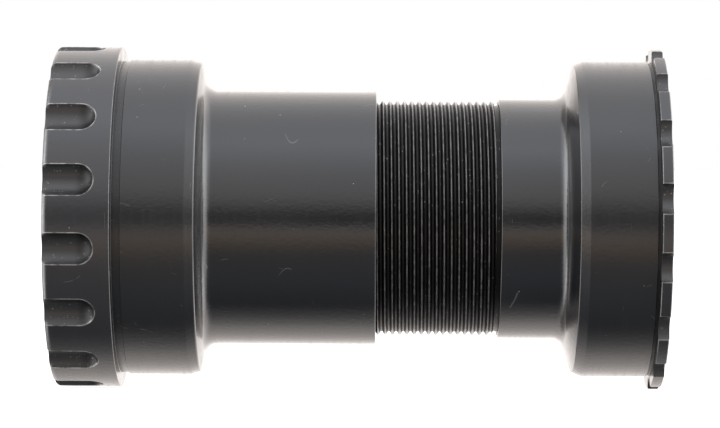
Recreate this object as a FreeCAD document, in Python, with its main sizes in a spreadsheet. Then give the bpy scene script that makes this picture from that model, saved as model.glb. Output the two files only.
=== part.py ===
"""Thread-together bottom bracket for a 46 x 79 mm press-fit shell and a 24 mm crank spindle.

Two turned aluminium cups screw together inside the frame. Each carries a 25 x 37 x 7 mm
cartridge bearing, a flanged bush for the spindle and a lip seal.

Frame: X runs along the spindle, from the drive side (-X) to the non-drive side (+X).
Z is up, and the origin is on the spindle axis, halfway between the two outboard faces.
Every side's pieces are made in that side's own frame: local Z is the spindle axis,
"depth" is the distance inboard from the outboard face, and local X points at a tool notch.
"""
import FreeCAD, Part
import math
import os
import Sketcher

V = FreeCAD.Vector

# Driving dimensions in millimetres, unless the name says otherwise.
SIZES = {
    # shell and how far the halves are screwed together
    "shell_width": 79.0,
    "turns_past_fit": 1.9853,
    "drive_notch_angle": 166.7,
    # shared cup sizes
    "shell_fit_dia": 46.0,
    "notch_count": 16,
    "notch_ball_dia": 5.0,
    "notch_depth": 1.45,
    "recess_dia": 38.8,
    "recess_depth": 1.4,
    "pocket_floor": 8.5,
    "clear_bore_dia": 34.8,
    # drive side cup
    "ring_dia": 49.64,
    "ring_width": 9.5,
    "ring_corner": 0.9,
    "ring_notch_centre": 4.95,
    "drive_relief_width": 1.3,
    "drive_relief_dia": 45.5,
    "drive_fit_end": 19.6,
    "drive_lead_dia": 45.1,
    "drive_lead_end": 21.1,
    "drive_lead_round": 0.4,
    "drive_root_depth": 22.1,
    "drive_sleeve_dia": 37.0,
    "drive_root_fillet": 1.9,
    "drive_length": 46.58,
    "female_thread_length": 10.5,
    "mouth_chamfer": 0.4,
    # non-drive side cup
    "flange_dia": 49.6,
    "flange_width": 1.6,
    "flange_edge": 0.22,
    "scallop_dia": 4.8,
    "scallop_depth": 1.4,
    "plain_relief_width": 0.45,
    "plain_relief_dia": 45.5,
    "plain_fit_end": 11.4,
    "plain_lead_dia": 44.9,
    "plain_lead_end": 12.8,
    "plain_root_depth": 14.52,
    "plain_sleeve_dia": 35.0,
    "plain_root_fillet": 1.7,
    "plain_sleeve_end": 23.7,
    "plain_bore_dia": 29.2,
    "plain_bore_start": 14.0,
    "plain_lead_round": 0.2,
    "thread_relief_width": 0.7,
    "male_groove_start": 23.87,
    "male_thread_end": 52.0,
    "nose_dia": 33.0,
    "nose_end": 60.6,
    "edge_break": 0.2,
    # thread, 24 turns to the inch
    "thread_pitch": 1.058333,
    "male_major_dia": 34.34,
    "male_root_dia": 33.18,
    "male_root_flat": 0.26,
    "male_crest_flat": 0.132,
    "female_minor_dia": 33.4,
    "female_major_dia": 34.5,
    "female_root_flat": 0.16,
    "flank_slope": 0.57735,
    "cutter_overrun": 0.1,
    "mesh_turns": 29.5,
    # sleeve seal
    "seal_depth": 58.6,
    "seal_cord_dia": 1.6,
    "seal_gap": 0.05,
    "seal_groove_width": 1.9,
    "seal_groove_dia": 31.44,
    # cartridge bearing
    "bearing_bore": 25.0,
    "bearing_dia": 37.0,
    "bearing_width": 7.0,
    "ball_dia": 3.5,
    "ball_count": 17,
    "ball_circle_dia": 31.0,
    "race_clearance": 0.05,
    "inner_land_dia": 28.5,
    "outer_land_dia": 33.5,
    "race_edge": 0.3,
    "cage_inner_dia": 29.9,
    "cage_outer_dia": 32.1,
    "cage_width": 4.5,
    "cage_pocket_dia": 3.66,
    "shield_thickness": 0.8,
    "shield_inset": 0.2,
    "shield_inner_dia": 28.9,
    # spindle bush and lip seal
    "spindle_dia": 24.04,
    "bush_length": 7.0,
    "bush_flange_dia": 32.8,
    "bush_flange_depth": 0.5,
    "bush_mouth": 0.45,
    "lip_ring_depth": 0.3,
    "lip_inner_dia": 33.5,
    "lip_body_dia": 35.4,
}

doc = FreeCAD.newDocument("bottom_bracket")
sheet = doc.addObject("Spreadsheet::Sheet", "sizes")
for row, (alias, value) in enumerate(SIZES.items(), start=1):
    sheet.set("A%d" % row, alias)
    sheet.set("B%d" % row, repr(value))
    sheet.setAlias("B%d" % row, alias)
doc.recompute()

# Lengths that several pieces share, as expressions on the sheet.
BEARING_START = "(sizes.pocket_floor - sizes.bearing_width)"
BEARING_MIDDLE = "(sizes.pocket_floor - sizes.bearing_width / 2)"
OVERALL_FITTED = "(sizes.ring_width + sizes.shell_width + sizes.flange_width)"


def number(expression):
    """Value of an expression on the sheet."""
    return float(sheet.evalExpression(expression))


def half(alias):
    """Expression for the radius of a diameter on the sheet."""
    return "(sizes.%s / 2)" % alias


def side_frame(drive_side, depth=0.0):
    """Placement of a side's own frame, or of a piece that starts at a depth in it."""
    turned_in = number("sizes.turns_past_fit")
    length = number(OVERALL_FITTED) - turned_in * number("sizes.thread_pitch")
    clock = number("sizes.drive_notch_angle")
    if drive_side:
        facing = FreeCAD.Rotation(V(0, 1, 0), V(0, 0, 1), V(1, 0, 0), "ZXY")
        start = V(-length / 2 + depth, 0, 0)
    else:
        facing = FreeCAD.Rotation(V(0, 1, 0), V(0, 0, -1), V(-1, 0, 0), "ZXY")
        start = V(length / 2 - depth, 0, 0)
        clock -= 360.0 * turned_in
    return FreeCAD.Placement(start, FreeCAD.Rotation(V(1, 0, 0), clock) * facing)


def new_body(name):
    """Empty body with the name of its piece."""
    body = doc.addObject("PartDesign::Body", name)
    body.Label = name
    return body


def sketch_on(body, role, name):
    """Empty sketch on one of the body's own origin planes."""
    sketch = body.newObject("Sketcher::SketchObject", name)
    plane = [item for item in body.Origin.OriginFeatures if item.Role == role][0]
    sketch.AttachmentSupport = [(plane, "")]
    sketch.MapMode = "FlatFace"
    return sketch


def spindle_line(body):
    """The body's local Z axis, which every turned piece and pattern goes round."""
    return [item for item in body.Origin.OriginFeatures if item.Role == "Z_Axis"][0]


def bind(sketch, kind, geometry, point, expression):
    """Ties a sketch point's distance from the origin to an expression on the sheet."""
    index = sketch.addConstraint(
        Sketcher.Constraint(kind, -1, 1, geometry, point, number(expression)))
    sketch.setExpression("Constraints[%d]" % index, expression)


def draw_outline(sketch, corners):
    """Closed outline through (radius, depth) corners, each tied to the sheet."""
    spots = [V(number(radius), number(depth), 0) for radius, depth in corners]
    count = len(corners)
    for index in range(count):
        sketch.addGeometry(Part.LineSegment(spots[index], spots[(index + 1) % count]), False)
    for index in range(count):
        sketch.addConstraint(
            Sketcher.Constraint("Coincident", index, 2, (index + 1) % count, 1))
    for index, (radius, depth) in enumerate(corners):
        bind(sketch, "DistanceX", index, 1, radius)
        if depth == "0":
            sketch.addConstraint(Sketcher.Constraint("PointOnObject", index, 1, -1))
        else:
            bind(sketch, "DistanceY", index, 1, depth)


def draw_circle(sketch, centre_x, centre_y, radius):
    """Circle whose centre and radius are tied to the sheet."""
    centre = V(number(centre_x) if centre_x else 0, number(centre_y), 0)
    circle = sketch.addGeometry(Part.Circle(centre, V(0, 0, 1), number(radius)), False)
    if centre_x:
        bind(sketch, "DistanceX", circle, 3, centre_x)
    else:
        sketch.addConstraint(Sketcher.Constraint("PointOnObject", circle, 3, -2))
    bind(sketch, "DistanceY", circle, 3, centre_y)
    index = sketch.addConstraint(Sketcher.Constraint("Radius", circle, number(radius)))
    sketch.setExpression("Constraints[%d]" % index, radius)


def turned(name, corners):
    """Body turned about the spindle axis from its half section."""
    body = new_body(name)
    sketch = sketch_on(body, "XZ_Plane", name + "_section")
    draw_outline(sketch, corners)
    turning = body.newObject("PartDesign::Revolution", name + "_turning")
    turning.Profile = sketch
    turning.ReferenceAxis = (spindle_line(body), [""])
    turning.Angle = 360.0
    doc.recompute()
    return body


def rim(shape, radius, depth):
    """Name of the round edge at a radius and depth."""
    for index, edge in enumerate(shape.Edges, start=1):
        curve = edge.Curve
        if isinstance(curve, Part.Circle) and abs(curve.Radius - number(radius)) < 1e-4:
            if abs(curve.Center.z - number(depth)) < 1e-4:
                return "Edge%d" % index
    raise ValueError("no edge at radius %s, depth %s" % (radius, depth))


def dress_rims(body, kind, size, rims):
    """Fillet or chamfer on round edges given as (radius, depth)."""
    base = body.Tip
    names = [rim(base.Shape, radius, depth) for radius, depth in rims]
    dressing = body.newObject("PartDesign::" + kind, "%s_%s" % (body.Name, kind.lower()))
    dressing.Base = (base, names)
    dressing.setExpression("Radius" if kind == "Fillet" else "Size", size)
    doc.recompute()


def cut_thread(body, name, outer, inner, start, length, start_turn=0):
    """Right-hand helical groove. outer and inner are (radius, half width) of its two flats.

    start is where the groove is centred at its first end, start_turn degrees round from local X.
    """
    sketch = sketch_on(body, "XZ_Plane", name + "_profile")
    sketch.AttachmentOffset = FreeCAD.Placement(V(), FreeCAD.Rotation(V(0, 1, 0), start_turn))
    (outer_radius, outer_half), (inner_radius, inner_half) = outer, inner
    draw_outline(sketch, [
        (outer_radius, "%s - (%s)" % (start, outer_half)),
        (outer_radius, "%s + (%s)" % (start, outer_half)),
        (inner_radius, "%s + (%s)" % (start, inner_half)),
        (inner_radius, "%s - (%s)" % (start, inner_half)),
    ])
    doc.recompute()
    before = body.Shape.Volume
    thread = body.newObject("PartDesign::SubtractiveHelix", name)
    thread.Profile = sketch
    thread.ReferenceAxis = (spindle_line(body), [""])
    thread.Mode = "pitch-height-angle"
    thread.setExpression("Pitch", "sizes.thread_pitch")
    thread.setExpression("Height", length)
    thread.Angle = 0
    thread.LeftHanded = False
    thread.Reversed = False
    doc.recompute()
    must_shrink(body, before, name)


def must_shrink(body, before, name):
    """Stops when a cut has removed nothing."""
    if body.Shape.Volume > before - 0.5:
        raise RuntimeError(name + " cuts nothing")


def draw_cutter(sketch, line, bottom, start, centre, round_end):
    """Half section of a milling cut about a line at one radius, and the line itself.

    The cut is square at its start, and square or round at its end.
    """
    sketch.addGeometry(Part.LineSegment(V(number(line), number(start) - 1, 0),
                                        V(number(line), number(start), 0)), True)
    bind(sketch, "DistanceX", 0, 1, line)
    bind(sketch, "DistanceY", 0, 1, "%s - 1" % start)
    bind(sketch, "DistanceX", 0, 2, line)
    bind(sketch, "DistanceY", 0, 2, start)
    spots = [V(number(line), number(start), 0), V(number(bottom), number(start), 0),
             V(number(bottom), number(centre), 0)]
    reach = number(line) - number(bottom)
    sketch.addGeometry(Part.LineSegment(spots[0], spots[1]), False)
    sketch.addGeometry(Part.LineSegment(spots[1], spots[2]), False)
    middle = V(number(line), number(centre), 0)
    if round_end:
        circle = Part.Circle(middle, V(0, 0, 1), reach)
        tip = V(number(line), number(centre) + reach, 0)
        sketch.addGeometry(Part.ArcOfCircle(circle, math.pi / 2, math.pi), False)
        bind(sketch, "DistanceX", 3, 3, line)
        bind(sketch, "DistanceY", 3, 3, centre)
        arc_tip, arc_foot = 1, 2
    else:
        tip = middle
        sketch.addGeometry(Part.LineSegment(spots[2], tip), False)
        bind(sketch, "DistanceY", 3, 2, centre)
        arc_tip, arc_foot = 2, 1
    sketch.addGeometry(Part.LineSegment(tip, spots[0]), False)
    for first, first_end, second, second_end in (
            (1, 2, 2, 1), (2, 2, 3, arc_foot), (3, arc_tip, 4, 1), (4, 2, 1, 1), (0, 2, 1, 1)):
        sketch.addConstraint(
            Sketcher.Constraint("Coincident", first, first_end, second, second_end))
    for point in (1, 2):
        bind(sketch, "DistanceX", 2, point, bottom)
        bind(sketch, "DistanceY", 2, point, start if point == 1 else centre)
    sketch.addConstraint(Sketcher.Constraint("Vertical", 4))


def cut_notches(body, name, rim_dia, ball_dia, depth, centre, round_end):
    """Tool notches round a rim, each milled along the axis by a ball of the stated size.

    A notch starts outside the outboard face. It ends in the ball's shape, centred at a depth,
    or runs straight out.
    """
    line = "sizes.%s / 2 - sizes.%s + sizes.%s / 2" % (rim_dia, depth, ball_dia)
    bottom = "sizes.%s / 2 - sizes.%s" % (rim_dia, depth)
    sketch = sketch_on(body, "XZ_Plane", name + "_profile")
    draw_cutter(sketch, line, bottom, "-1", centre, round_end)
    doc.recompute()
    before = body.Shape.Volume
    groove = body.newObject("PartDesign::Groove", name)
    groove.Profile = sketch
    groove.ReferenceAxis = (sketch, ["Axis0"])
    groove.Angle = 360.0
    doc.recompute()
    must_shrink(body, before, name)
    pattern = body.newObject("PartDesign::PolarPattern", name + "_round")
    pattern.Originals = [groove]
    pattern.Axis = (spindle_line(body), [""])
    pattern.Angle = 360.0
    pattern.setExpression("Occurrences", "sizes.notch_count")
    body.Tip = pattern
    doc.recompute()


def drive_side_cup():
    """Cup with the wide notched ring and the outer, internally threaded sleeve."""
    ring, fit, sleeve = half("ring_dia"), half("shell_fit_dia"), half("drive_sleeve_dia")
    relief, lead = half("drive_relief_dia"), half("drive_lead_dia")
    recess, pocket = half("recess_dia"), half("bearing_dia")
    clear, minor = half("clear_bore_dia"), half("female_minor_dia")
    relief_end = "sizes.ring_width + sizes.drive_relief_width"
    thread_start = "sizes.drive_length - sizes.female_thread_length"
    step = "(%s - %s)" % (clear, minor)
    body = turned("drive_side_cup", [
        (ring, "0"), (ring, "sizes.ring_width"),
        (relief, "sizes.ring_width"), (relief, relief_end),
        (fit, relief_end), (fit, "sizes.drive_fit_end"),
        (lead, "sizes.drive_lead_end"), (sleeve, "sizes.drive_root_depth"),
        (sleeve, "sizes.drive_length"), (minor, "sizes.drive_length"),
        (minor, thread_start), (clear, "%s - %s" % (thread_start, step)),
        (clear, "sizes.pocket_floor"), (pocket, "sizes.pocket_floor"),
        (pocket, "sizes.recess_depth"), (recess, "sizes.recess_depth"), (recess, "0"),
    ])
    dress_rims(body, "Fillet", "sizes.ring_corner", [(ring, "0")])
    dress_rims(body, "Fillet", "sizes.drive_root_fillet", [(sleeve, "sizes.drive_root_depth")])
    dress_rims(body, "Fillet", "sizes.drive_lead_round", [(lead, "sizes.drive_lead_end")])
    dress_rims(body, "Chamfer", "sizes.edge_break", [
        (ring, "sizes.ring_width"), (sleeve, "sizes.drive_length"), (recess, "0")])
    dress_rims(body, "Chamfer", "sizes.mouth_chamfer", [(minor, "sizes.drive_length")])
    cut_notches(body, "ring_notch", "ring_dia", "notch_ball_dia", "notch_depth",
                "sizes.ring_notch_centre", True)
    # The ridges face the grooves at the fitted width, with both cups' first notches in line.
    groove_start = "%s - sizes.male_groove_start - sizes.mesh_turns * sizes.thread_pitch"
    root_half = "sizes.female_root_flat / 2"
    mouth_half = "%s + sizes.flank_slope * (%s - %s + sizes.cutter_overrun)" % (
        root_half, half("female_major_dia"), minor)
    cut_thread(body, "female_thread", (half("female_major_dia"), root_half),
               (minor + " - sizes.cutter_overrun", mouth_half), groove_start % OVERALL_FITTED,
               "sizes.female_thread_length + 2.2 * sizes.thread_pitch")
    return body


def non_drive_side_cup():
    """Cup with the thin scalloped flange and the inner, externally threaded sleeve."""
    flange, fit, sleeve = half("flange_dia"), half("shell_fit_dia"), half("plain_sleeve_dia")
    relief, lead = half("plain_relief_dia"), half("plain_lead_dia")
    recess, pocket = half("recess_dia"), half("bearing_dia")
    clear, bore = half("clear_bore_dia"), half("plain_bore_dia")
    major, root, nose = half("male_major_dia"), half("male_root_dia"), half("nose_dia")
    groove = half("seal_groove_dia")
    relief_end = "sizes.flange_width + sizes.plain_relief_width"
    thread_start = "sizes.plain_sleeve_end + sizes.thread_relief_width"
    groove_start = "sizes.seal_depth - sizes.seal_groove_width / 2"
    groove_end = "sizes.seal_depth + sizes.seal_groove_width / 2"
    body = turned("non_drive_side_cup", [
        (flange, "0"), (flange, "sizes.flange_width"),
        (relief, "sizes.flange_width"), (relief, relief_end),
        (fit, relief_end), (fit, "sizes.plain_fit_end"),
        (lead, "sizes.plain_lead_end"), (sleeve, "sizes.plain_root_depth"),
        (sleeve, "sizes.plain_sleeve_end"), (nose, "sizes.plain_sleeve_end"),
        (nose, thread_start), (major, thread_start),
        (major, "sizes.male_thread_end"), (nose, "sizes.male_thread_end"),
        (nose, groove_start), (groove, groove_start), (groove, groove_end), (nose, groove_end),
        (nose, "sizes.nose_end"), (bore, "sizes.nose_end"), (bore, "sizes.plain_bore_start"),
        (clear, "sizes.plain_bore_start - (%s - %s)" % (clear, bore)),
        (clear, "sizes.pocket_floor"), (pocket, "sizes.pocket_floor"),
        (pocket, "sizes.recess_depth"), (recess, "sizes.recess_depth"), (recess, "0"),
    ])
    dress_rims(body, "Chamfer", "sizes.flange_edge", [(flange, "0"), (flange, "sizes.flange_width")])
    dress_rims(body, "Fillet", "sizes.plain_root_fillet", [(sleeve, "sizes.plain_root_depth")])
    dress_rims(body, "Fillet", "sizes.plain_lead_round", [(lead, "sizes.plain_lead_end")])
    dress_rims(body, "Chamfer", "sizes.edge_break", [
        (sleeve, "sizes.plain_sleeve_end"), (recess, "0"), (nose, "sizes.nose_end")])
    dress_rims(body, "Chamfer", "sizes.mouth_chamfer", [(major, "sizes.male_thread_end")])
    cut_notches(body, "flange_scallop", "flange_dia", "scallop_dia", "scallop_depth",
                "sizes.flange_width + 0.2", False)
    crest_half = "(sizes.thread_pitch - sizes.male_crest_flat) / 2"
    # half a turn on from the groove's reference, so that it starts clear of the sleeve's shoulder
    groove_clear = "sizes.male_groove_start + sizes.thread_pitch / 2"
    cut_thread(body, "male_thread",
               (major + " + sizes.cutter_overrun",
                crest_half + " + sizes.flank_slope * sizes.cutter_overrun"),
               (root, "sizes.male_root_flat / 2"), groove_clear,
               "sizes.male_thread_end - (%s) + 1.2 * sizes.thread_pitch" % groove_clear,
               start_turn=180)
    return body


def race(name, bore, land):
    """Bearing race with its ball track. bore is on the plain side and land on the track side."""
    body = turned(name, [
        (bore, BEARING_START), (land, BEARING_START),
        (land, "sizes.pocket_floor"), (bore, "sizes.pocket_floor")])
    dress_rims(body, "Chamfer", "sizes.race_edge", [(bore, BEARING_START), (bore, "sizes.pocket_floor")])
    sketch = sketch_on(body, "XZ_Plane", name + "_track_section")
    draw_circle(sketch, half("ball_circle_dia"), BEARING_MIDDLE,
                half("ball_dia") + " + sizes.race_clearance")
    before = body.Shape.Volume
    track = body.newObject("PartDesign::Groove", name + "_track")
    track.Profile = sketch
    track.ReferenceAxis = (spindle_line(body), [""])
    track.Angle = 360.0
    doc.recompute()
    must_shrink(body, before, name + " track")
    return body


def ball_set(name):
    """The bearing's balls, as one group of separate solids."""
    body = new_body(name)
    body.AllowCompound = True
    ball = body.newObject("PartDesign::AdditiveSphere", name + "_ball")
    ball.setExpression("Radius", half("ball_dia"))
    ball.setExpression("Placement.Base.x", half("ball_circle_dia"))
    ball.setExpression("Placement.Base.z", BEARING_MIDDLE)
    pattern = body.newObject("PartDesign::PolarPattern", name + "_ring")
    pattern.Originals = [ball]
    pattern.Axis = (spindle_line(body), [""])
    pattern.Angle = 360.0
    pattern.setExpression("Occurrences", "sizes.ball_count")
    body.Tip = pattern
    doc.recompute()
    return body


def cage_half(name, outboard):
    """Half of the ball cage, split on the balls' middle plane, with a half pocket per ball."""
    sign = "-" if outboard else "+"
    far = "%s %s sizes.cage_width / 2" % (BEARING_MIDDLE, sign)
    inner, outer = half("cage_inner_dia"), half("cage_outer_dia")
    body = turned(name, [
        (inner, BEARING_MIDDLE), (outer, BEARING_MIDDLE), (outer, far), (inner, far)])
    sketch = sketch_on(body, "YZ_Plane", name + "_pocket_outline")
    draw_circle(sketch, None, BEARING_MIDDLE, half("cage_pocket_dia"))
    before = body.Shape.Volume
    pocket = body.newObject("PartDesign::Pocket", name + "_pocket")
    pocket.Profile = sketch
    pocket.Type = "Length"
    pocket.setExpression("Length", "sizes.cage_outer_dia")
    pocket.Reversed = True
    doc.recompute()
    must_shrink(body, before, name + " pocket")
    pattern = body.newObject("PartDesign::PolarPattern", name + "_pockets")
    pattern.Originals = [pocket]
    pattern.Axis = (spindle_line(body), [""])
    pattern.Angle = 360.0
    pattern.setExpression("Occurrences", "sizes.ball_count")
    body.Tip = pattern
    doc.recompute()
    return body


def bearing_seal(name, outboard):
    """Rubber-faced shield held in the outer race, just clear of the inner race."""
    inner, outer = half("shield_inner_dia"), half("outer_land_dia")
    if outboard:
        face = BEARING_START + " + sizes.shield_inset"
        back = face + " + sizes.shield_thickness"
    else:
        face = "sizes.pocket_floor - sizes.shield_inset"
        back = face + " - sizes.shield_thickness"
    return turned(name, [(inner, face), (outer, face), (outer, back), (inner, back)])


def spindle_bush(name):
    """Flanged plastic bush that fills the inner race down to the spindle."""
    bore, tube, flange = half("spindle_dia"), half("bearing_bore"), half("bush_flange_dia")
    mouth = bore + " + sizes.bush_mouth"
    flange_start = "sizes.bush_flange_depth"
    return turned(name, [
        (mouth, flange_start), (flange + " - sizes.edge_break", flange_start),
        (flange, flange_start + " + sizes.edge_break"), (flange, BEARING_START),
        (tube, BEARING_START), (tube, flange_start + " + sizes.bush_length"),
        (bore, flange_start + " + sizes.bush_length"),
        (bore, flange_start + " + sizes.bush_mouth")])


def lip_seal(name):
    """Rubber ring in the cup's recess, with a raised lip round the bush's flange."""
    lip, shoulder, outer = half("lip_inner_dia"), half("lip_body_dia"), half("recess_dia")
    face = "sizes.lip_ring_depth"
    return turned(name, [
        (lip, face), (lip + " + sizes.edge_break", face),
        (shoulder, face + " + sizes.bush_mouth"), (outer, face + " + sizes.bush_mouth"),
        (outer, "sizes.recess_depth"), (lip, "sizes.recess_depth")])


def sleeve_o_ring(name):
    """O-ring on the inner sleeve's nose, which seals it to the outer sleeve's clear bore."""
    ring = doc.addObject("Part::Torus", name)
    ring.Label = name
    ring.setExpression("Radius1", "%s - sizes.seal_gap - sizes.seal_cord_dia / 2"
                       % half("clear_bore_dia"))
    ring.setExpression("Radius2", half("seal_cord_dia"))
    ring.Placement = side_frame(False, number("sizes.seal_depth"))
    return ring


pieces = [sleeve_o_ring("sleeve_o_ring")]
for side, drive_side, cup in (("drive", True, drive_side_cup),
                              ("non_drive", False, non_drive_side_cup)):
    bearing = side + "_bearing_"
    group = [
        cup(),
        race(bearing + "outer_race", half("bearing_dia"), half("outer_land_dia")),
        race(bearing + "inner_race", half("bearing_bore"), half("inner_land_dia")),
        ball_set(bearing + "balls"),
        cage_half(bearing + "cage_outboard_half", True),
        cage_half(bearing + "cage_inboard_half", False),
        bearing_seal(bearing + "outboard_seal", True),
        bearing_seal(bearing + "inboard_seal", False),
        spindle_bush(side + "_spindle_bush"),
        lip_seal(side + "_lip_seal"),
    ]
    for piece in group:
        piece.Placement = side_frame(drive_side)
    pieces += group

doc.recompute()
for item in doc.Objects:
    if "Invalid" in item.State or "Error" in item.State:
        raise RuntimeError("%s failed: %s" % (item.Label, item.State))
for piece in pieces:
    if piece.Shape.isNull() or not piece.Shape.isValid():
        raise RuntimeError(piece.Label + " has no valid shape")

os.makedirs("parts", exist_ok=True)
for piece in pieces:
    piece.Shape.exportStep("parts/%s.step" % piece.Label)
    box = piece.Shape.BoundBox
    print("%-40s %2d solid(s) %9.1f mm3  x %7.2f to %7.2f" % (
        piece.Label, len(piece.Shape.Solids), piece.Shape.Volume, box.XMin, box.XMax))
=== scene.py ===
import math
from types import SimpleNamespace

import bmesh
import bpy
from mathutils import Matrix, Vector


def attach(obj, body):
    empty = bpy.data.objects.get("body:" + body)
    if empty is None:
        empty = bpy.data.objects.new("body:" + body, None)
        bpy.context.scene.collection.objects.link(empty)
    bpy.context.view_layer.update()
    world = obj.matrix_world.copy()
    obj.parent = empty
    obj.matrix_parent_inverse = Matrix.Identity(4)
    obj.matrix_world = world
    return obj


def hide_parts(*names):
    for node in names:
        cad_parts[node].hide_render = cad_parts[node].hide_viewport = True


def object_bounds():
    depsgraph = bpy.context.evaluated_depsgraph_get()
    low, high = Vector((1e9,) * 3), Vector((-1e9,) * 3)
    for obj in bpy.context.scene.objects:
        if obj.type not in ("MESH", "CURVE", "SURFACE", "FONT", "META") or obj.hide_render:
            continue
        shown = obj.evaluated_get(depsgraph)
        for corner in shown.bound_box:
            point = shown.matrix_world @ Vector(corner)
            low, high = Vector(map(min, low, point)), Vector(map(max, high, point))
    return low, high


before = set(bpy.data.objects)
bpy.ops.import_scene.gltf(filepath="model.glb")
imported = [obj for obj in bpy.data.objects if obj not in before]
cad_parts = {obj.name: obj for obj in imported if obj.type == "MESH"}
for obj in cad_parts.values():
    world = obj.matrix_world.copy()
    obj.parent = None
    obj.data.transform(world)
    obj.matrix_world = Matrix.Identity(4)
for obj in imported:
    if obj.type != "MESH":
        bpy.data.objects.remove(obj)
CAD_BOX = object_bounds()

MM = 0.001
SEGMENTS = 384

# ---------------------------------------------------------------------------
# Driving sizes in millimetres. Depth is measured inboard from a side's outboard face, and
# round sizes are radii.
# ---------------------------------------------------------------------------
HALF_LENGTH = CAD_BOX[1][0] / MM
PITCH = 25.4 / 24
TURNS_PAST_FIT = 1.9853
DRIVE_CLOCK = math.radians(166.7)
NOTCHES = 16

# For both sides, the last setting is the strength of the painted shade in the groove beside the
# seat.
DRIVE = SimpleNamespace(
    prefix="drive", facing=1.0, clock=DRIVE_CLOCK,
    rim=24.82, rim_width=9.5, notch_ball=2.5, notch_bottom=24.82 - 1.45, notch_centre=4.95,
    relief=22.75, relief_end=10.8, seat_end=19.6, lead=22.55, lead_end=21.1,
    root_depth=22.1, sleeve=18.5, length=46.58,
    thread_start=36.0, crest=16.7,
    rim_wear=0.7, groove=10.15, groove_shade=0.25)
PLAIN = SimpleNamespace(
    prefix="non_drive", facing=-1.0, clock=DRIVE_CLOCK - math.radians(360 * TURNS_PAST_FIT),
    rim=24.8, rim_width=1.6, notch_ball=2.4, notch_bottom=24.8 - 1.4, notch_centre=1.8,
    relief=22.75, relief_end=2.05, seat_end=11.4, lead=22.45, lead_end=12.8,
    root_depth=14.52, sleeve=17.5, sleeve_end=23.7, length=60.6,
    thread_start=23.72, crest=17.17,
    rim_wear=0.45, groove=1.83, groove_shade=0.5)

SEAT = 23.0
POCKET_FLOOR = 8.5
RECESS_DEPTH = 1.4
RECESS = 19.4
POCKET = 18.5
CLEAR_BORE = 17.4
FACE_CHAMFER = 0.2
MOUTH_CHAMFER = 0.4
MALE_GROOVE = 23.87
THREADS_END = 53.0
MESH_TURNS = 29.5
SPINDLE_BORE = 12.02
BEARING_BORE = 12.5
BUSH_FLANGE = 16.4
LIP = 16.75


def place(side, depth, radius, angle):
    """Point of the row frame, in metres, from a side's depth, radius and angle about +X."""
    x = -side.facing * (HALF_LENGTH - depth)
    return Vector((x, radius * math.cos(angle), radius * math.sin(angle))) * MM


# ---------------------------------------------------------------------------
# Turned shapes
# ---------------------------------------------------------------------------
def rounded(corners, guard=0.07):
    """Closed outline of (depth, radius) points from corners (depth, radius, rounding).

    Each corner becomes an arc, with a guard point on either side so that its shading stays
    on the arc and the long faces stay straight.
    """
    points = []
    count = len(corners)
    for index, (depth, radius, rounding) in enumerate(corners):
        here = Vector((depth, radius))
        before = Vector(corners[index - 1][:2]) - here
        after = Vector(corners[(index + 1) % count][:2]) - here
        if rounding == 0:
            points.append(here)
            continue
        half_angle = before.angle(after) / 2
        setback = rounding / math.tan(half_angle)
        centre = here + (before.normalized() + after.normalized()).normalized() * (
            rounding / math.sin(half_angle))
        first = here + before.normalized() * setback
        last = here + after.normalized() * setback
        sweep = math.pi - 2 * half_angle
        steps = max(2, round(math.degrees(sweep) / 11))
        if before.length > setback + 2 * guard:
            points.append(first + before.normalized() * guard)
        for step in range(steps + 1):
            away = (first - centre).slerp(last - centre, step / steps)
            points.append(centre + away.normalized() * rounding)
        if after.length > setback + 2 * guard:
            points.append(last + after.normalized() * guard)
    return points


def add_turned(mesh, side, outline, closed=True):
    """Turns an outline about the spindle axis."""
    loops = []
    for step in range(SEGMENTS):
        angle = side.clock + math.tau * step / SEGMENTS
        loops.append([mesh.verts.new(place(side, p[0], p[1], angle)) for p in outline])
    reach = len(outline) if closed else len(outline) - 1
    for step in range(SEGMENTS):
        here, there = loops[step], loops[(step + 1) % SEGMENTS]
        for row in range(reach):
            following = (row + 1) % len(outline)
            mesh.faces.new((here[row], here[following], there[following], there[row]))


def add_thread(mesh, side, ends, ridge_depth, rows, radius_at):
    """Helical surface between two (depth, radius) ends, where it joins the turned surfaces.

    ridge_depth is where a ridge is centred at the side's clock angle, rows are distances
    from a ridge's centre, and radius_at gives the radius for such a distance and a depth.
    """
    (first_depth, first_radius), (last_depth, last_radius) = ends
    turns = math.ceil((last_depth - first_depth) / PITCH) + 4
    lead = math.floor((first_depth - ridge_depth) / PITCH) - 1
    grid = []
    for step in range(SEGMENTS + 1):
        share = step / SEGMENTS
        angle = side.clock + math.tau * share
        column = [mesh.verts.new(place(side, first_depth, first_radius, angle))]
        for turn in range(turns + 1):
            ridge = ridge_depth + PITCH * (lead + turn + side.facing * share)
            for offset in rows:
                depth = min(max(ridge + offset, first_depth), last_depth)
                away = (depth - ridge + PITCH / 2) % PITCH - PITCH / 2
                column.append(mesh.verts.new(place(side, depth, radius_at(away, depth), angle)))
        column.append(mesh.verts.new(place(side, last_depth, last_radius, angle)))
        grid.append(column)
    for step in range(SEGMENTS):
        here, there = grid[step], grid[step + 1]
        for row in range(len(here) - 1):
            mesh.faces.new((here[row], here[row + 1], there[row + 1], there[row]))


def finish_mesh(mesh, name, weld=1e-7):
    """Object from a bmesh, welded, with its normals outwards."""
    bmesh.ops.remove_doubles(mesh, verts=mesh.verts, dist=weld)
    bmesh.ops.recalc_face_normals(mesh, faces=mesh.faces)
    data = bpy.data.meshes.new(name)
    mesh.to_mesh(data)
    mesh.free()
    piece = bpy.data.objects.new(name, data)
    bpy.context.scene.collection.objects.link(piece)
    return piece


def shade(piece, sharp_degrees=38):
    """Smooth shading that stays crisp at real edges."""
    piece.data.polygons.foreach_set("use_smooth", [True] * len(piece.data.polygons))
    piece.data.set_sharp_from_angle(angle=math.radians(sharp_degrees))


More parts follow.
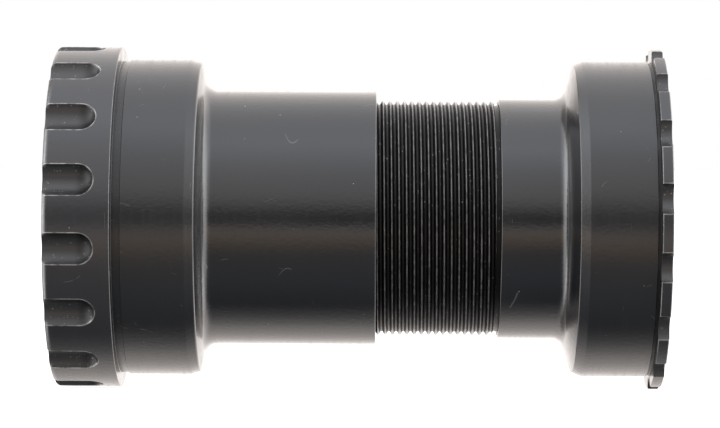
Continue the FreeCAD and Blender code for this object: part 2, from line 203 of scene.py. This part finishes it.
def notch_cutters(side, end_round):
    """All of a rim's milling cuts as one mesh: round bars along the axis, square or ball-ended."""
    around, down = 96, 24
    line = side.notch_bottom + side.notch_ball
    outline = [(-1.0, side.notch_ball), (side.notch_centre, side.notch_ball)]
    if end_round:
        outline += [(side.notch_centre + side.notch_ball * math.sin(math.pi / 2 * k / down),
                     side.notch_ball * math.cos(math.pi / 2 * k / down))
                    for k in range(1, down)]
        tip = side.notch_centre + side.notch_ball
    else:
        tip = side.notch_centre
    mesh = bmesh.new()
    for notch in range(NOTCHES):
        angle = side.clock + math.tau * notch / NOTCHES
        outward = Vector((0, math.cos(angle), math.sin(angle)))
        across = Vector((0, -math.sin(angle), math.cos(angle)))
        rings = []
        for depth, radius in outline:
            centre = place(side, depth, line, angle)
            rings.append([mesh.verts.new(centre + radius * MM * (
                outward * math.cos(math.tau * k / around)
                + across * math.sin(math.tau * k / around))) for k in range(around)])
        for first, second in zip(rings, rings[1:]):
            for k in range(around):
                m = (k + 1) % around
                mesh.faces.new((first[k], first[m], second[m], second[k]))
        mesh.faces.new(rings[0])
        peak = mesh.verts.new(place(side, tip, line, angle))
        for k in range(around):
            mesh.faces.new((rings[-1][k], rings[-1][(k + 1) % around], peak))
    return finish_mesh(mesh, side.prefix + "_cutters")


def cut(piece, cutter):
    """Takes the cutter's volume out of the piece."""
    difference = piece.modifiers.new("cut", "BOOLEAN")
    difference.operation = "DIFFERENCE"
    difference.solver = "EXACT"
    difference.object = cutter
    bpy.context.view_layer.update()
    seen = piece.evaluated_get(bpy.context.evaluated_depsgraph_get())
    data = bpy.data.meshes.new_from_object(seen)
    piece.modifiers.clear()
    piece.data = data
    bpy.data.objects.remove(cutter)


# ---------------------------------------------------------------------------
# The two cups
# ---------------------------------------------------------------------------
def thread_radius(tip, root, tip_half, taper):
    """Radius over a ridge or groove whose flanks slope at 60 degrees to each other."""
    slope = math.tan(math.radians(30))

    def radius_at(away, depth):
        lost = max(abs(away) - tip_half, 0) / slope
        return taper(max(tip - lost, root), depth)
    return radius_at


def drive_cup():
    side = DRIVE
    mouth, thread_end = side.length, side.length - 10.5
    minor, major = side.crest, 17.25
    step, mouth_radius = CLEAR_BORE - minor, major + 0.05
    outline = rounded([
        (thread_end - step, CLEAR_BORE, 0),
        (POCKET_FLOOR, CLEAR_BORE, 0.1), (POCKET_FLOOR, POCKET, 0.1),
        (RECESS_DEPTH, POCKET, 0.1), (RECESS_DEPTH, RECESS, 0.08),
        (FACE_CHAMFER, RECESS, 0.06), (0, RECESS + FACE_CHAMFER, 0.06),
        (0, side.rim, 0.9), (side.rim_width, side.rim, 0.17),
        (side.rim_width, side.relief, 0.1), (side.relief_end, side.relief, 0.08),
        (side.relief_end, SEAT, 0.04), (side.seat_end, SEAT, 0.9),
        (side.lead_end, side.lead, 0.4), (side.root_depth, side.sleeve, 1.9),
        (mouth, side.sleeve, 0.2), (mouth, mouth_radius, 0)])
    mesh = bmesh.new()
    add_turned(mesh, side, outline, closed=False)

    def taper(radius, depth):
        return max(radius, minor + (thread_end - depth), minor + depth - mouth + MOUTH_CHAMFER)

    # A ridge of the inner sleeve's thread is centred here, so it is a groove of this one.
    overall = 2 * HALF_LENGTH + TURNS_PAST_FIT * PITCH
    groove = overall - MALE_GROOVE - MESH_TURNS * PITCH
    rows = (-0.3975, -0.08, 0.08, 0.3975)
    add_thread(mesh, side, ((thread_end - step, CLEAR_BORE), (mouth, mouth_radius)), groove,
               rows, thread_radius(major, minor, 0.08, taper))
    piece = finish_mesh(mesh, "drive_cup_shell")
    cut(piece, notch_cutters(side, True))
    shade(piece)
    return piece


def non_drive_cup():
    side = PLAIN
    start, end, nose, bore = side.sleeve_end + 0.7, 52.0, 16.5, 14.6
    root, major = 16.59, side.crest
    seal_start, seal_end, seal_floor, bore_start = 57.65, 59.55, 15.72, 14.0
    outline = rounded([
        (end, nose, 0), (seal_start, nose, 0.06), (seal_start, seal_floor, 0.1),
        (seal_end, seal_floor, 0.1), (seal_end, nose, 0.06), (side.length, nose, 0.25),
        (side.length, bore, 0.2), (bore_start, bore, 0.3),
        (bore_start - (CLEAR_BORE - bore), CLEAR_BORE, 0.3),
        (POCKET_FLOOR, CLEAR_BORE, 0.1), (POCKET_FLOOR, POCKET, 0.1),
        (RECESS_DEPTH, POCKET, 0.1), (RECESS_DEPTH, RECESS, 0.08),
        (FACE_CHAMFER, RECESS, 0.06), (0, RECESS + FACE_CHAMFER, 0.06),
        (0, side.rim, 0.24), (side.rim_width, side.rim, 0.24),
        (side.rim_width, side.relief, 0.08), (side.relief_end, side.relief, 0.08),
        (side.relief_end, SEAT, 0.05), (side.seat_end, SEAT, 0.25),
        (side.lead_end, side.lead, 0.2), (side.root_depth, side.sleeve, 1.7),
        (side.sleeve_end, side.sleeve, 0.2), (side.sleeve_end, nose, 0.05), (start, nose, 0)])
    mesh = bmesh.new()
    add_turned(mesh, side, outline, closed=False)

    def taper(radius, depth):
        return min(radius, major - (depth - end + MOUTH_CHAMFER))

    rows = (-0.401, -0.105, -0.045, 0.045, 0.105, 0.401)
    add_thread(mesh, side, ((start, nose), (end, nose)), MALE_GROOVE + PITCH / 2, rows,
               thread_radius(major, root, 0.066, taper))
    piece = finish_mesh(mesh, "non_drive_cup_shell")
    cut(piece, notch_cutters(side, False))
    shade(piece)
    return piece


# ---------------------------------------------------------------------------
# Spindle bushes and lip seals
# ---------------------------------------------------------------------------
def turned_piece(side, name, corners):
    mesh = bmesh.new()
    add_turned(mesh, side, rounded(corners, guard=0.03))
    piece = finish_mesh(mesh, side.prefix + name)
    shade(piece)
    return piece


def bush(side):
    """Flanged bush: the flange covers the bearing, and the tube lines its bore."""
    return turned_piece(side, "_bush", [
        (0.5, SPINDLE_BORE + 0.45, 0.12), (0.5, 13.4, 0.04), (0.62, 13.5, 0.04),
        (0.62, 15.2, 0.04), (0.5, 15.3, 0.04), (0.5, BUSH_FLANGE, 0.2), (1.5, BUSH_FLANGE, 0.06),
        (1.5, BEARING_BORE, 0), (7.5, BEARING_BORE, 0.05), (7.5, SPINDLE_BORE, 0.08),
        (0.95, SPINDLE_BORE, 0.2)])


def lip_seal(side):
    """Rubber ring in the recess, with its lip standing round the bush's flange."""
    return turned_piece(side, "_seal", [
        (0.3, LIP, 0.06), (0.3, LIP + 0.22, 0.08), (0.75, 17.7, 0.2), (0.75, 18.3, 0.05),
        (0.88, 18.42, 0.05), (0.88, 18.68, 0.05), (0.75, 18.8, 0.05), (0.75, RECESS, 0.08),
        (RECESS_DEPTH, RECESS, 0), (RECESS_DEPTH, LIP, 0.06)])


# ---------------------------------------------------------------------------
# Materials
# ---------------------------------------------------------------------------
class Shader:
    """Builds shader nodes. Each helper takes sockets or plain numbers and returns a socket."""

    def __init__(self, name=None, tree=None):
        self.tree = tree
        if name:
            self.material = bpy.data.materials.new(name)
            self.material.use_nodes = True
            self.tree = self.material.node_tree
            self.surface = self.tree.nodes["Principled BSDF"]
            place_of = self.node("ShaderNodeTexCoord")
            self.mm = self.vector("SCALE", place_of.outputs["Object"], 1 / MM)

    def node(self, kind, **settings):
        made = self.tree.nodes.new(kind)
        for key, value in settings.items():
            setattr(made, key, value)
        return made

    def give(self, socket, value):
        if isinstance(value, bpy.types.NodeSocket):
            self.tree.links.new(value, socket)
        else:
            socket.default_value = value

    def math(self, operation, a, b=0.0, clamp=False):
        made = self.node("ShaderNodeMath", operation=operation, use_clamp=clamp)
        self.give(made.inputs[0], a)
        self.give(made.inputs[1], b)
        return made.outputs[0]

    def vector(self, operation, a, b):
        made = self.node("ShaderNodeVectorMath", operation=operation)
        self.give(made.inputs[0], a)
        self.give(made.inputs["Scale" if operation == "SCALE" else 1], b)
        return made.outputs["Vector"]

    def split(self, a):
        made = self.node("ShaderNodeSeparateXYZ")
        self.give(made.inputs[0], a)
        return made.outputs

    def step(self, value, low, high, to_low=0.0, to_high=1.0):
        """Smooth step between two values."""
        made = self.node("ShaderNodeMapRange", interpolation_type="SMOOTHSTEP")
        for socket, given in zip(made.inputs, (value, low, high, to_low, to_high)):
            self.give(socket, given)
        return made.outputs[0]

    def noise(self, size_mm, detail=2.0, stretch=(1, 1, 1), shift=0.0):
        """Noise whose features are about size_mm across, longer along a stretched axis."""
        scaled = self.vector("MULTIPLY", self.mm, tuple(1 / k for k in stretch))
        moved = self.vector("ADD", scaled, (shift, shift * 1.7, shift * 0.6))
        made = self.node("ShaderNodeTexNoise")
        self.give(made.inputs["Vector"], moved)
        made.inputs["Scale"].default_value = 1 / size_mm
        made.inputs["Detail"].default_value = detail
        return made.outputs["Fac"]

    def specks(self, cell_mm, size_mm, share, shift=0.0):
        """Small irregular spots, in some of the cells."""
        moved = self.vector("ADD", self.mm, (shift, shift, shift))
        made = self.node("ShaderNodeTexVoronoi")
        self.give(made.inputs["Vector"], moved)
        made.inputs["Scale"].default_value = 1 / cell_mm
        chance = self.split(made.outputs["Color"])
        size = self.math("MULTIPLY", chance[1], size_mm / cell_mm)
        near = self.math("SUBTRACT", size, made.outputs["Distance"])
        spot = self.step(near, 0.0, 0.15 * size_mm / cell_mm)
        return self.math("MULTIPLY", spot, self.math("GREATER_THAN", chance[0], 1 - share))

    def hairs(self, size_mm, width, stretch, shift, cover):
        """Hairline scratches: a noise's contour lines, broken up by a second noise."""
        level = self.noise(size_mm, 0.0, stretch, shift)
        line = self.step(self.math("ABSOLUTE", self.math("SUBTRACT", level, 0.5)), width, 0.0)
        broken = self.noise(size_mm * 0.45, 1.0, (1, 1, 1), shift + 31)
        return self.math("MULTIPLY", line, self.step(broken, 1 - cover, 1.05 - cover))

    def colour(self, factor, low, high):
        made = self.node("ShaderNodeMix", data_type="RGBA")
        self.give(made.inputs["Factor"], factor)
        self.give(made.inputs["A"], low if isinstance(low, bpy.types.NodeSocket) else (*low, 1))
        self.give(made.inputs["B"], high if isinstance(high, bpy.types.NodeSocket) else (*high, 1))
        return made.outputs["Result"]

    def bump(self, height, depth_mm, strength=1.0, under=None):
        made = self.node("ShaderNodeBump")
        made.inputs["Strength"].default_value = strength
        made.inputs["Distance"].default_value = depth_mm * MM
        self.give(made.inputs["Height"], height)
        if under is not None:
            self.give(made.inputs["Normal"], under)
        return made.outputs["Normal"]

    def around(self):
        """(distance from the spindle axis in mm, angle about +X in radians)."""
        x, y, z = self.split(self.mm)
        radius = self.math("POWER", self.math(
            "ADD", self.math("MULTIPLY", y, y), self.math("MULTIPLY", z, z)), 0.5)
        return radius, self.math("ARCTAN2", z, y)


def notch_distance(shader, side):
    """Distance in mm outwards from a notch's outline on the rim, negative inside it."""
    radius, angle = shader.around()
    pitch = math.tau / NOTCHES
    turned = shader.math("SUBTRACT", angle, side.clock % pitch)
    folded = shader.math("ADD", turned, math.tau * 2 + pitch / 2)
    beside = shader.math("SUBTRACT", shader.math("MODULO", folded, pitch), pitch / 2)
    across = shader.math("MULTIPLY", beside, radius)
    x = shader.split(shader.mm)[0]
    depth = shader.math("ADD", shader.math("MULTIPLY", x, side.facing), HALF_LENGTH)
    past = shader.math("MAXIMUM", shader.math("SUBTRACT", depth, side.notch_centre), 0.0)
    reach = shader.math("POWER", shader.math(
        "ADD", shader.math("MULTIPLY", across, across), shader.math("MULTIPLY", past, past)), 0.5)
    line = side.notch_bottom + side.notch_ball - side.rim
    half_width = math.sqrt(side.notch_ball ** 2 - line ** 2)
    return shader.math("SUBTRACT", reach, half_width), radius, depth


def anodised(side, edges):
    """Satin black anodising with handling marks, worn to bare metal along its edges.

    edges are (depth, radius, width, wear) rings that are knocked in fitting and use. Wear is
    how bare the metal gets there, from 0 to 1.
    """
    s = Shader(side.prefix + "_black_anodising")
    away, radius, depth = notch_distance(s, side)
    patchy = s.noise(1.1, 4.0, shift=3)
    fine = s.noise(0.35, 3.0, shift=70)

    # bare metal along the notch rims and the listed edges, fainter where the finish survives
    rim_line = s.math("MULTIPLY", s.step(s.math("ABSOLUTE", away), 0.12, 0.03),
                      s.step(radius, side.rim - 0.3, side.rim - 0.1))
    worn = s.math("MULTIPLY", rim_line, s.step(patchy, 0.32, 0.68, 0.08, side.rim_wear))
    for edge_depth, edge_radius, width, wear in edges:
        along = s.math("SUBTRACT", depth, edge_depth)
        across = s.math("SUBTRACT", radius, edge_radius)
        gap = s.math("POWER", s.math("ADD", s.math("MULTIPLY", along, along),
                                     s.math("MULTIPLY", across, across)), 0.5)
        ring = s.math("MULTIPLY", s.step(gap, width, width * 0.3),
                      s.step(patchy, 0.3, 0.7, 0.4 * wear, wear))
        worn = s.math("MAXIMUM", worn, s.math("MULTIPLY", ring, s.step(fine, 0.3, 0.6, 0.5, 1.0)))
    chips = s.math("MULTIPLY", s.specks(2.6, 0.22, 0.26, shift=5), s.step(patchy, 0.5, 0.6))
    worn = s.math("MAXIMUM", worn, s.math("MULTIPLY", chips, 0.8))

    # painted shade darkens the grooves beside the seats, the thread's flanks and the notches'
    # closed ends; grime and dust fill the notches
    in_notch = s.math("MULTIPLY", s.step(away, 0.0, -0.25), s.step(radius, SEAT + 0.1, SEAT + 0.3))
    groove = s.math("MULTIPLY", s.step(radius, SEAT - 0.06, SEAT - 0.2),
                    s.step(s.math("ABSOLUTE", s.math("SUBTRACT", depth, side.groove)), 0.75, 0.6))
    off_crest = s.math("ABSOLUTE", s.math("SUBTRACT", radius, side.crest))
    threaded = s.math("MULTIPLY", s.step(radius, CLEAR_BORE, CLEAR_BORE - 0.1),
                      s.step(depth, side.thread_start - 0.1, side.thread_start))
    flanks = s.math("MULTIPLY", threaded, s.step(off_crest, 0.04, 0.14))
    flanks = s.math("MULTIPLY", flanks, s.step(depth, THREADS_END + 1, THREADS_END))
    notch_end = s.math("MULTIPLY", in_notch, s.step(depth, side.notch_centre - 0.6,
                                                    side.notch_centre + 1.2, 0.0, 0.8))
    # painted shade: the grooves, thread flanks and notch ends lose most of their reflection
    # further down
    painted_shade = s.math("MAXIMUM", s.math("MULTIPLY", groove, side.groove_shade),
                  s.math("MAXIMUM", flanks, notch_end))
    # grime in the notches joined with the painted shade of the hollows, as one mask
    dirt_and_shade = s.math("MAXIMUM", painted_shade, s.math("MULTIPLY", in_notch, 0.8))
    crests = s.math("MULTIPLY", threaded, s.step(off_crest, 0.07, 0.01))
    crests = s.math("MULTIPLY", crests, s.step(patchy, 0.3, 0.65, 0.05, 0.22))
    worn = s.math("MAXIMUM", worn, crests)

    # handling marks
    scratches = s.math("MAXIMUM", s.hairs(9, 0.002, (1, 4, 4), 12, 0.42),
                       s.hairs(6, 0.0026, (3, 1, 1.4), 47, 0.36))
    dust = s.math("MAXIMUM", s.specks(1.7, 0.12, 0.3, shift=9),
                  s.math("MULTIPLY", s.specks(0.38, 0.1, 0.6, shift=19), dirt_and_shade))
    cloud = s.noise(14, 3.0, (1.6, 1, 1), shift=21)
    rubbed = s.noise(2.2, 2.0, (0.25, 3, 3), shift=60)

    tint = s.colour(s.step(cloud, 0.35, 0.7), (0.0046, 0.0045, 0.0056), (0.0062, 0.0057, 0.006))
    rim_tint = s.colour(s.step(radius, SEAT + 0.6, SEAT + 1.0), tint, (0.0135, 0.013, 0.0145))
    # near-black colour in the hollows, for their grime and their painted shade
    shade_dirt_colour = s.colour(dirt_and_shade, rim_tint, (0.0135, 0.013, 0.013))
    marked = s.colour(s.math("MULTIPLY", scratches, 0.35), shade_dirt_colour, (0.14, 0.135, 0.13))
    dusty = s.colour(s.math("MULTIPLY", dust, 0.55), marked, (0.3, 0.285, 0.27))
    s.give(s.surface.inputs["Base Color"], s.colour(worn, dusty, (0.42, 0.41, 0.4)))
    bare = s.math("MULTIPLY", worn, 0.85)
    # metallic with the near-black colour takes the reflection away: painted shade in the hollows
    s.give(s.surface.inputs["Metallic"], s.math("MAXIMUM", bare, s.math("MULTIPLY", painted_shade, 0.9)))

    # the sleeves are turned finer than the seats and the rim
    turned = s.step(radius, DRIVE.sleeve + 0.6, SEAT - 0.8, 0.15, 0.2)
    satin = s.math("ADD", turned, s.math("ADD", s.step(cloud, 0.3, 0.75, -0.02, 0.03),
                                         s.step(rubbed, 0.45, 0.75, 0.0, 0.05)))
    marks = s.math("MAXIMUM", s.math("MAXIMUM", scratches, dust), dirt_and_shade)
    rough = s.math("ADD", satin, s.math("MULTIPLY", marks, 0.22))
    s.give(s.surface.inputs["Roughness"], s.math("ADD", rough, s.math("MULTIPLY", worn, 0.12)))
    s.surface.inputs["IOR"].default_value = 1.58

    grain = s.bump(s.noise(0.16, 2.0, shift=80), 0.0012)
    lathe = s.bump(s.noise(0.13, 1.0, (1, 60, 60), shift=90), 0.0012, under=grain)
    waves = s.bump(s.noise(0.45, 3.0, (1.5, 1, 1), shift=33), 0.02, under=lathe)
    dents = s.bump(s.math("SUBTRACT", s.math("SUBTRACT", 1.0, scratches),
                          s.math("MULTIPLY", worn, 0.8)), 0.006, under=waves)
    s.give(s.surface.inputs["Normal"], dents)
    return s.material


def moulded(name, base, rough, grain_mm, dusty=0.35):
    """Rubber or plastic: fine moulded grain, faint flow lines and dust in it."""
    s = Shader(name)
    cloud = s.noise(5, 3.0, shift=7)
    dust = s.specks(1.1, 0.14, 0.3, shift=2)
    darker = tuple(0.6 * part for part in base)
    tint = s.colour(s.step(cloud, 0.3, 0.7), base, darker)
    s.give(s.surface.inputs["Base Color"],
           s.colour(s.math("MULTIPLY", dust, dusty), tint, (0.3, 0.28, 0.26)))
    s.give(s.surface.inputs["Roughness"], s.step(cloud, 0.25, 0.75, rough, rough + 0.12))
    s.surface.inputs["IOR"].default_value = 1.5
    grain = s.bump(s.noise(grain_mm, 3.0, shift=11), 0.006)
    flow = s.bump(s.noise(0.5, 1.0, (1, 6, 6), shift=5), 0.004, under=grain)
    s.give(s.surface.inputs["Normal"], flow)
    return s.material


def steel(name, base, rough, lines_mm):
    """Ground or pressed steel: lines round the axis, faint oil film and stains."""
    s = Shader(name)
    lines = s.noise(lines_mm, 2.0, (1, 50, 50), shift=4)
    film = s.noise(3.5, 3.0, shift=15)
    stained = tuple(part * k for part, k in zip(base, (0.62, 0.55, 0.46)))
    s.give(s.surface.inputs["Base Color"], s.colour(s.step(film, 0.5, 0.8), base, stained))
    s.surface.inputs["Metallic"].default_value = 1.0
    s.give(s.surface.inputs["Roughness"], s.step(lines, 0.3, 0.7, rough, rough + 0.14))
    s.give(s.surface.inputs["Normal"], s.bump(lines, 0.003))
    return s.material


# ---------------------------------------------------------------------------
# Building and dressing the model
# ---------------------------------------------------------------------------
def dress(piece, material):
    piece.data.materials.clear()
    piece.data.materials.append(material)


def stand_for(piece, node, body, material):
    """The piece takes a CAD node's place, and moves and is finished as that node is."""
    dress(piece, material)
    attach(piece, body)
    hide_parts(node)


stand_for(drive_cup(), "drive_side_cup", "drive_cup_unit", anodised(DRIVE, [
    (DRIVE.rim_width - 0.08, DRIVE.rim - 0.06, 0.11, 0.16),
    (0.3, 24.5, 0.35, 0.25),
    (DRIVE.relief_end, SEAT, 0.07, 0.12),
    (DRIVE.lead_end, DRIVE.lead - 0.05, 0.12, 0.05),
    (DRIVE.length - 0.08, DRIVE.sleeve - 0.08, 0.08, 0.1)]))
stand_for(non_drive_cup(), "non_drive_side_cup", "non_drive_cup_unit",
          anodised(PLAIN, [
              (PLAIN.rim_width, PLAIN.rim - 0.08, 0.13, 0.25),
              (0.05, PLAIN.rim - 0.08, 0.16, 0.3),
              (PLAIN.relief_end, SEAT - 0.02, 0.08, 0.12),
              (PLAIN.lead_end, PLAIN.lead - 0.03, 0.1, 0.05)]))

rubber = moulded("lip_seal_rubber", (0.022, 0.022, 0.024), 0.5, 0.12)
plastic = moulded("bush_plastic", (0.035, 0.035, 0.037), 0.34, 0.2)
for side in (DRIVE, PLAIN):
    stand_for(bush(side), side.prefix + "_spindle_bush", side.prefix + "_inner_ring",
              plastic)
    stand_for(lip_seal(side), side.prefix + "_lip_seal", side.prefix + "_cup_unit",
              rubber)

INNER = {
    "outer_race": steel("ground_race_steel", (0.6, 0.6, 0.61), 0.16, 0.1),
    "cage_inboard_half": steel("pressed_cage_steel", (0.5, 0.49, 0.46), 0.3, 0.3),
    "balls": steel("polished_ball_steel", (0.66, 0.66, 0.68), 0.06, 0.5),
    "inboard_seal": moulded("bearing_seal_rubber", (0.028, 0.028, 0.03), 0.42, 0.1),
}
INNER["inner_race"] = INNER["outer_race"]
INNER["cage_outboard_half"] = INNER["cage_inboard_half"]
INNER["outboard_seal"] = INNER["inboard_seal"]
for side in (DRIVE, PLAIN):
    for part, material in INNER.items():
        dress(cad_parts["%s_bearing_%s" % (side.prefix, part)], material)
dress(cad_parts["sleeve_o_ring"], moulded("o_ring_rubber", (0.018, 0.018, 0.019), 0.28, 0.3))


# ---------------------------------------------------------------------------
# Camera, light and floor
# ---------------------------------------------------------------------------
def look(name, position_mm, pan, tilt, roll, lens):
    """Camera looking along +Y, turned left by pan, down by tilt, its right side lifted by roll."""
    data = bpy.data.cameras.new(name)
    data.sensor_width = 36
    data.lens = lens
    data.clip_start = 0.01
    camera = bpy.data.objects.new(name, data)
    turn = (Matrix.Rotation(pan, 4, "Z") @ Matrix.Rotation(math.pi / 2 - tilt, 4, "X")
            @ Matrix.Rotation(roll, 4, "Z"))
    camera.matrix_world = Matrix.Translation(Vector(position_mm) * MM) @ turn
    bpy.context.scene.collection.objects.link(camera)
    bpy.context.scene.camera = camera


look("camera", (2.52, -464.2, 10.74), 0.004937, 0.021919, 0.005064, 158.43)


def studio_world(bands, flare, side_walls):
    """Studio light that changes with height and is brighter towards both sides.

    bands are (degrees up from the front, brightness, warmth), where 0 degrees is the camera's
    side, 90 is straight up and 180 behind. They are brighter by flare a little to the sides,
    and the far corners behind are dim, the left one more widely. The camera sees plain white.
    """
    world = bpy.data.worlds.new("studio")
    world.use_nodes = True
    bpy.context.scene.world = world
    world.node_tree.nodes.clear()
    s = Shader(tree=world.node_tree)
    x, y, z = s.split(s.node("ShaderNodeTexCoord").outputs["Generated"])
    up = s.math("ARCTAN2", z, s.math("MULTIPLY", y, -1.0))
    share = s.math("ADD", s.math("DIVIDE", up, math.tau), 0.5)

    ramp = s.node("ShaderNodeValToRGB")
    s.give(ramp.inputs[0], share)
    stops = ramp.color_ramp.elements
    stops.remove(stops[1])
    bright = max(level for _, level, _ in bands) * 1.3
    for index, (degrees, level, warmth) in enumerate(bands):
        stop = stops[0] if index == 0 else stops.new((degrees + 180) / 360)
        stop.position = (degrees + 180) / 360
        stop.color = (*(level * k / bright for k in (1 + warmth, 0.985, 1 - warmth)), 1)

    sideways = s.math("ABSOLUTE", x)
    reach = s.math("SUBTRACT", y, s.step(x, -0.1, 0.1, 0.0, 0.55))
    behind = s.math("MULTIPLY", s.step(reach, 0.25, 0.5), s.step(sideways, 0.3, 0.5))
    lit = s.math("SUBTRACT", 1.0, s.math("MULTIPLY", behind, 0.75))
    gain = s.math("MULTIPLY", lit, s.step(sideways, 0.35, 0.55, 1.0, 1.0 + flare))
    walls = s.math("MULTIPLY", lit, s.step(sideways, 0.6, 0.92, 0.0, side_walls / bright))
    light = s.node("ShaderNodeBackground")
    s.give(light.inputs["Color"], s.vector(
        "ADD", s.vector("SCALE", ramp.outputs["Color"], gain), walls))
    light.inputs["Strength"].default_value = bright
    white = s.node("ShaderNodeBackground")
    white.inputs["Color"].default_value = (1, 1, 1, 1)
    choose = s.node("ShaderNodeMixShader")
    s.give(choose.inputs[0], s.node("ShaderNodeLightPath").outputs["Is Camera Ray"])
    s.give(choose.inputs[1], light.outputs[0])
    s.give(choose.inputs[2], white.outputs[0])
    s.give(s.node("ShaderNodeOutputWorld").inputs["Surface"], choose.outputs[0])


studio_world(
    bands=[
        # white table behind and below
        (-180, 1.9, 0.05), (-146, 1.5, 0.06), (-119, 1.35, 0.05), (-100, 0.6, 0.0),
        # shadow under the table's front edge
        (-86, 0.23, -0.06), (-70, 0.31, -0.08), (-57, 0.38, -0.08), (-40, 0.42, -0.03),
        # wooden floor in front
        (-30, 0.46, 0.05), (-22, 0.7, 0.2), (-16, 0.95, 0.22), (-11, 1.1, 0.1),
        # the dark camera
        (-6, 0.7, 0.0), (-2, 0.25, 0.0), (4, 0.35, 0.0), (11, 0.85, 0.0),
        # wall and overhead softbox
        (20, 1.3, 0.0), (33, 1.5, -0.01), (44, 1.7, -0.03), (56, 2.0, -0.04), (70, 2.3, -0.04),
        (98, 1.9, -0.03), (120, 1.75, 0.0), (150, 1.7, 0.06), (180, 1.9, 0.05)],
    flare=0.4, side_walls=3.2)
bpy.context.scene.view_settings.view_transform = "Standard"


def add_floor():
    """Plain white sweep under the part, lit evenly and kept out of its reflections."""
    half = 4.0
    data = bpy.data.meshes.new("floor")
    height = CAD_BOX[0][2] - 0.0002
    data.from_pydata([(-half, -half, height), (half, -half, height),
                      (half, half, height), (-half, half, height)], [], [(0, 1, 2, 3)])
    floor = bpy.data.objects.new("floor", data)
    bpy.context.scene.collection.objects.link(floor)
    material = bpy.data.materials.new("white_floor")
    material.use_nodes = True
    surface = material.node_tree.nodes["Principled BSDF"]
    surface.inputs["Base Color"].default_value = (0.2, 0.2, 0.2, 1)
    surface.inputs["Roughness"].default_value = 0.9
    surface.inputs["Emission Color"].default_value = (1, 1, 1, 1)
    surface.inputs["Emission Strength"].default_value = 0.95
    data.materials.append(material)
    floor.visible_glossy = False
    floor.visible_diffuse = False


add_floor()
